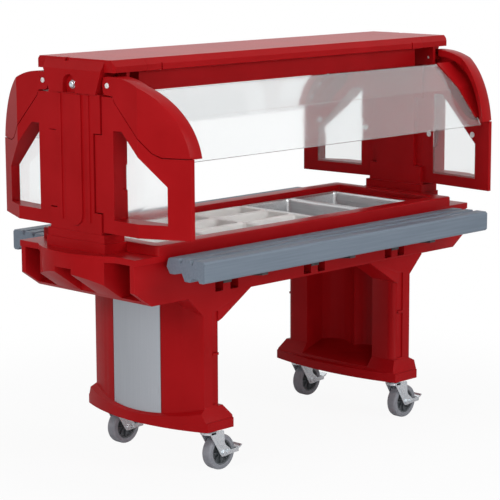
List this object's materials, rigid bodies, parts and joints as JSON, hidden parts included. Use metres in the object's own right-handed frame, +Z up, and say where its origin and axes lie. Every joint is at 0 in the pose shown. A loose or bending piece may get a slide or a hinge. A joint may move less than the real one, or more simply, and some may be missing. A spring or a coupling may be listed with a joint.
{
  "type": "mobile salad bar",
  "caption": "Mobile moulded salad bar: cold well with lift-out pans under a canopy with lifting clear guards, fold-down tray rails, two pedestals on braked swivel casters.",
  "frame": {"origin": "middle of the footprint, on the floor under the wheels", "axes": "X along the bar's length, with the end that is nearer in the picture at -X; Y from the front serving side (-Y) to the back; Z up"},
  "size_m": [2.251, 1.192, 1.747],
  "materials": {
    "moulded_red": "lightly grained polyethylene moulding, soft sheen",
    "cover_panel": "brushed upright, satin",
    "clear_sheet": "clear polycarbonate sheet, polished",
    "rail_slate": "slate blue moulding, matt with a light grain",
    "zinc_plate": "bright zinc plating",
    "pan_steel": "brushed stainless steel",
    "pan_white": "white food-grade plastic, smooth",
    "white_hardware": "white plastic-capped bolts and screws",
    "wheel_core": "dark moulded wheel centre",
    "tyre_grey": "grey non-marking rubber",
    "drain_fitting": "dark threaded plug"
  },
  "bodies": {
    "frame": {"tub": "moulded_red", "tub_rim": "moulded_red", "drain_plug": "drain_fitting", "left_pedestal": "moulded_red", "right_pedestal": "moulded_red", "pedestal_panels": "cover_panel", "left_post": "moulded_red", "right_post": "moulded_red", "left_front_wing": "moulded_red", "left_back_wing": "moulded_red", "right_front_wing": "moulded_red", "right_back_wing": "moulded_red", "window_panes": "clear_sheet", "window_screws": "white_hardware", "top_beam": "moulded_red", "left_end_cap": "moulded_red", "right_end_cap": "moulded_red", "canopy_bolts": "white_hardware", "rail_brackets": "zinc_plate", "divider_bars": "pan_steel", "caster_plates": "zinc_plate"},
    "front_guard": {"left_front_guard_arm": "moulded_red", "right_front_guard_arm": "moulded_red", "front_guard_panel": "clear_sheet", "front_guard_screws": "white_hardware"},
    "front_rail": {"front_tray_rail": "rail_slate", "front_rail_arms": "zinc_plate"},
    "back_guard": {"left_back_guard_arm": "moulded_red", "right_back_guard_arm": "moulded_red", "back_guard_panel": "clear_sheet", "back_guard_screws": "white_hardware"},
    "back_rail": {"back_tray_rail": "rail_slate", "back_rail_arms": "zinc_plate"},
    "full_pan_a": {"full_pan_1": "pan_steel"},
    "full_pan_b": {"full_pan_2": "pan_steel"},
    "third_pan_a": {"third_pan_1": "pan_white"},
    "third_pan_b": {"third_pan_2": "pan_white"},
    "third_pan_c": {"third_pan_3": "pan_white"},
    "third_pan_d": {"third_pan_4": "pan_white"},
    "third_pan_e": {"third_pan_5": "pan_white"},
    "third_pan_f": {"third_pan_6": "pan_white"},
    "third_pan_g": {"third_pan_7": "pan_white"},
    "third_pan_h": {"third_pan_8": "pan_white"},
    "third_pan_i": {"third_pan_9": "pan_white"},
    "caster_1": {"caster_yoke_1": "zinc_plate"},
    "wheel_1": {"wheel_core_1": "wheel_core", "tyre_1": "tyre_grey"},
    "brake_1": {"brake_pedal_1": "zinc_plate"},
    "caster_2": {"caster_yoke_2": "zinc_plate"},
    "wheel_2": {"wheel_core_2": "wheel_core", "tyre_2": "tyre_grey"},
    "brake_2": {"brake_pedal_2": "zinc_plate"},
    "caster_3": {"caster_yoke_3": "zinc_plate"},
    "wheel_3": {"wheel_core_3": "wheel_core", "tyre_3": "tyre_grey"},
    "brake_3": {"brake_pedal_3": "zinc_plate"},
    "caster_4": {"caster_yoke_4": "zinc_plate"},
    "wheel_4": {"wheel_core_4": "wheel_core", "tyre_4": "tyre_grey"},
    "brake_4": {"brake_pedal_4": "zinc_plate"}
  },
  "joints": [
    {"name": "front_guard_lift", "type": "hinge", "parent": "frame", "child": "front_guard", "pos_m": [0, -0.198, 1.647], "axis": [-1, 0, 0], "range_deg": [0, 12]},
    {"name": "front_rail_fold", "type": "hinge", "parent": "frame", "child": "front_rail", "pos_m": [0, -0.39, 0.868], "axis": [1, 0, 0], "range_deg": [0, 90]},
    {"name": "back_guard_lift", "type": "hinge", "parent": "frame", "child": "back_guard", "pos_m": [0, 0.198, 1.647], "axis": [1, 0, 0], "range_deg": [0, 12]},
    {"name": "back_rail_fold", "type": "hinge", "parent": "frame", "child": "back_rail", "pos_m": [0, 0.39, 0.868], "axis": [-1, 0, 0], "range_deg": [0, 90]},
    {"name": "full_pan_a_lift", "type": "slide", "parent": "frame", "child": "full_pan_a", "axis": [0, 0, 1], "range_m": [0, 0.25]},
    {"name": "full_pan_b_lift", "type": "slide", "parent": "frame", "child": "full_pan_b", "axis": [0, 0, 1], "range_m": [0, 0.25]},
    {"name": "third_pan_a_lift", "type": "slide", "parent": "frame", "child": "third_pan_a", "axis": [0, 0, 1], "range_m": [0, 0.25]},
    {"name": "third_pan_b_lift", "type": "slide", "parent": "frame", "child": "third_pan_b", "axis": [0, 0, 1], "range_m": [0, 0.25]},
    {"name": "third_pan_c_lift", "type": "slide", "parent": "frame", "child": "third_pan_c", "axis": [0, 0, 1], "range_m": [0, 0.25]},
    {"name": "third_pan_d_lift", "type": "slide", "parent": "frame", "child": "third_pan_d", "axis": [0, 0, 1], "range_m": [0, 0.25]},
    {"name": "third_pan_e_lift", "type": "slide", "parent": "frame", "child": "third_pan_e", "axis": [0, 0, 1], "range_m": [0, 0.25]},
    {"name": "third_pan_f_lift", "type": "slide", "parent": "frame", "child": "third_pan_f", "axis": [0, 0, 1], "range_m": [0, 0.25]},
    {"name": "third_pan_g_lift", "type": "slide", "parent": "frame", "child": "third_pan_g", "axis": [0, 0, 1], "range_m": [0, 0.25]},
    {"name": "third_pan_h_lift", "type": "slide", "parent": "frame", "child": "third_pan_h", "axis": [0, 0, 1], "range_m": [0, 0.25]},
    {"name": "third_pan_i_lift", "type": "slide", "parent": "frame", "child": "third_pan_i", "axis": [0, 0, 1], "range_m": [0, 0.25]},
    {"name": "caster_1_swivel", "type": "hinge", "parent": "frame", "child": "caster_1", "pos_m": [-0.597, -0.3, 0.17], "axis": [0, 0, 1], "continuous": true},
    {"name": "wheel_1_spin", "type": "hinge", "parent": "caster_1", "child": "wheel_1", "pos_m": [-0.541, -0.3, 0.076], "axis": [0, 1, 0], "continuous": true},
    {"name": "brake_1_press", "type": "hinge", "parent": "caster_1", "child": "brake_1", "pos_m": [-0.514, -0.3, 0.073], "axis": [0, 1, 0], "range_deg": [0, 14]},
    {"name": "caster_2_swivel", "type": "hinge", "parent": "frame", "child": "caster_2", "pos_m": [-0.597, 0.3, 0.17], "axis": [0, 0, 1], "continuous": true},
    {"name": "wheel_2_spin", "type": "hinge", "parent": "caster_2", "child": "wheel_2", "pos_m": [-0.541, 0.3, 0.076], "axis": [0, 1, 0], "continuous": true},
    {"name": "brake_2_press", "type": "hinge", "parent": "caster_2", "child": "brake_2", "pos_m": [-0.514, 0.3, 0.073], "axis": [0, 1, 0], "range_deg": [0, 14]},
    {"name": "caster_3_swivel", "type": "hinge", "parent": "frame", "child": "caster_3", "pos_m": [0.597, -0.3, 0.17], "axis": [0, 0, 1], "continuous": true},
    {"name": "wheel_3_spin", "type": "hinge", "parent": "caster_3", "child": "wheel_3", "pos_m": [0.653, -0.3, 0.076], "axis": [0, 1, 0], "continuous": true},
    {"name": "brake_3_press", "type": "hinge", "parent": "caster_3", "child": "brake_3", "pos_m": [0.68, -0.3, 0.073], "axis": [0, 1, 0], "range_deg": [0, 14]},
    {"name": "caster_4_swivel", "type": "hinge", "parent": "frame", "child": "caster_4", "pos_m": [0.597, 0.3, 0.17], "axis": [0, 0, 1], "continuous": true},
    {"name": "wheel_4_spin", "type": "hinge", "parent": "caster_4", "child": "wheel_4", "pos_m": [0.653, 0.3, 0.076], "axis": [0, 1, 0], "continuous": true},
    {"name": "brake_4_press", "type": "hinge", "parent": "caster_4", "child": "brake_4", "pos_m": [0.68, 0.3, 0.073], "axis": [0, 1, 0], "range_deg": [0, 14]}
  ]
}
